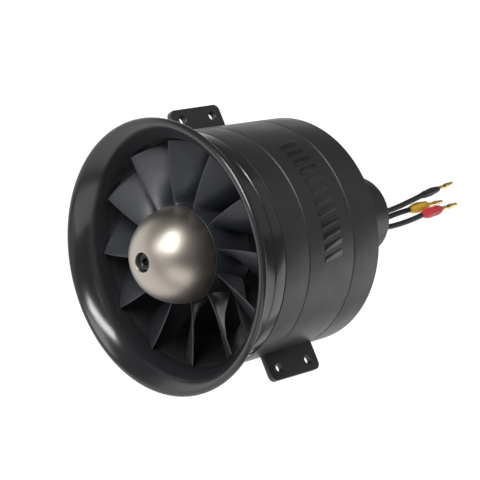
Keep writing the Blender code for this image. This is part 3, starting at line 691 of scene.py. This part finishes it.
def spinner_outline():
    reach = SPINNER_BASE_Y - SPINNER_TIP_Y
    rim = math.asin(reach / SPINNER_HALF_AXIS)
    dome = []
    for i in range(1, 57):
        t = rim * i / 56
        radius, y = HUB_R * math.cos(t), SPINNER_BASE_Y - SPINNER_HALF_AXIS * math.sin(t)
        if radius > NOSE_HOLE_R + 0.35:
            dome.append((radius, y))
    nose_y = dome[-1][1] - 0.04
    mouth = rounded([dome[-1] + (0,), (NOSE_HOLE_R + 0.1, nose_y, 0.25), (NOSE_HOLE_R, -51.0, 0), (2.3, -51.0, 0),
                     (2.3, -47.5, 0), (6.0, -47.5, 0.5), (12.5, -44.5, 3.0), (16.0, -39.5, 2.0),
                     (17.2, SPINNER_BASE_Y, 0.1), (HUB_R - 0.18, SPINNER_BASE_Y, 0),
                     (HUB_R, SPINNER_BASE_Y - 0.22, 0)])
    return dome + mouth[1:]


def hexagon_socket(across_flats, y0, y1):
    radius = across_flats / math.sqrt(3)
    bm = bmesh.new()
    add_loft(bm, [[polar(radius, 60 * i, y) for i in range(6)] for y in (y0, y1)])
    return bm


def make_spinner(looks):
    spinner = turned("spinner_dome", spinner_outline(), looks["blasted_aluminium"], "rotor",
                     192, 30)
    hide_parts("spinner")
    head = rounded([(0, -54.1, 0), (1.95, -54.1, 0.1), (2.25, -54.4, 0.1), (3.4, -54.4, 0.35), (3.4, -51.3, 0.1),
                    (2.0, -51.3, 0), (2.0, -37.0, 0.2), (0, -37.0, 0)])
    screw = turned("nose_screw", head, looks["black_steel"], "rotor", 64, 30)
    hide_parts("spinner_screw")
    cut(screw, hexagon_socket(3.0, -56.0, -52.3), "nose_socket")


# Fixed vanes, sleeve and tail


def make_stator(looks):
    sleeve = rounded([(7.0, -15.2, 0.2), (SLEEVE_R, -15.2, 0.5), (SLEEVE_R, SLEEVE_REAR_Y, 0.15),
                      (17.8, SLEEVE_REAR_Y, 0.15), (17.8, -12.4, 0.5), (7.0, -12.4, 0.2)])
    frame = turned("stator_sleeve", sleeve, looks["satin_black_plastic"], "housing", 144)
    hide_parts("stator_frame")
    sweep = [(18.5, 24.0), (30.0, 16.0), (44.6, 11.0)]
    for number in range(VANES):
        start = FIRST_VANE_ANGLE + number * 360 / VANES
        loops = []
        for radius in (18.9, 19.3, 19.8, 20.6, 22, 25, 28, 31, 34, 37, 40, 42, 43.6, 44.4, 44.9, 45.2):
            turn = interpolate(sweep, radius)

            def mean(s):
                bend = s + 0.55 * s * (1 - s)
                return Vector((math.radians(start + turn * bend) * radius, -13.0 + 25.0 * s))

            near_wall = min(max(radius, 19.3) - 19.3, max(45.0 - radius, 0.0))
            half = 1.05 + 0.9 * math.exp(-near_wall / 0.5)
            loops.append([polar(radius, math.degrees(p.x / radius), p.y) for p in section(mean, half, 22)])
        bm = bmesh.new()
        add_loft(bm, loops)
        finish_piece(bm, f"guide_vane_{number + 1}", looks["satin_black_plastic"], "housing",
                     60)


def make_tail(looks):
    outline = rounded([(17.8, 32.3, 0.15), (SLEEVE_R, 32.3, 0.3), (SLEEVE_R, 46.0, 12.0), (18.1, 60.0, 12.0),
                       (16.5, 73.5, 3.3), (12.0, TAIL_REAR_Y + 0.05, 0), (0, TAIL_REAR_Y + 0.1, 0),
                       (0, TAIL_REAR_Y - 1.6, 0), (14.0, TAIL_REAR_Y - 1.6, 1.0), (16.6, 58.0, 6.0),
                       (17.8, 46.0, 4.0)], 8)
    tail = turned("tail_shell", outline, looks["satin_black_plastic"], "housing", 144, 40)
    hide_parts("tail_cover")
    loops = []
    for share in range(15):
        t = share / 14
        flare = (1 - t) ** 2.4
        half_length = 4.15 + 3.4 * flare
        half_width = 1.75 + 3.2 * flare
        y = TAIL_REAR_Y - 0.6 + 6.6 * t
        loop = []
        for side, start in ((1, -90), (-1, 90)):
            for i in range(17):
                turn = math.radians(start + 180 * i / 16)
                along = 4.2 + side * (half_length - half_width) + half_width * math.cos(turn)
                loop.append(slanted(along, half_width * math.sin(turn), y))
        loops.append(loop)
    bm = bmesh.new()
    add_loft(bm, loops)
    boot = finish_piece(bm, "lead_boot", looks["black_rubber"], "housing", 45)
    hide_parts("wire_grommet")


def dress_cad_nodes(looks):
    """Every model node that still shows takes the finish of its material slot."""
    for entry in frame["record"]["subparts"]:
        node = frame["nodes"][entry["node"]]
        if not node.hide_render:
            node.data.materials.clear()
            node.data.materials.append(looks[entry["material_slot"]])


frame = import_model()
make_camera()
looks = make_materials()
make_leads(looks)
make_studio()
make_lip(looks)
make_duct(looks)
make_marks(looks)
make_fan(looks)
make_spinner(looks)
make_stator(looks)
make_tail(looks)
dress_cad_nodes(looks)
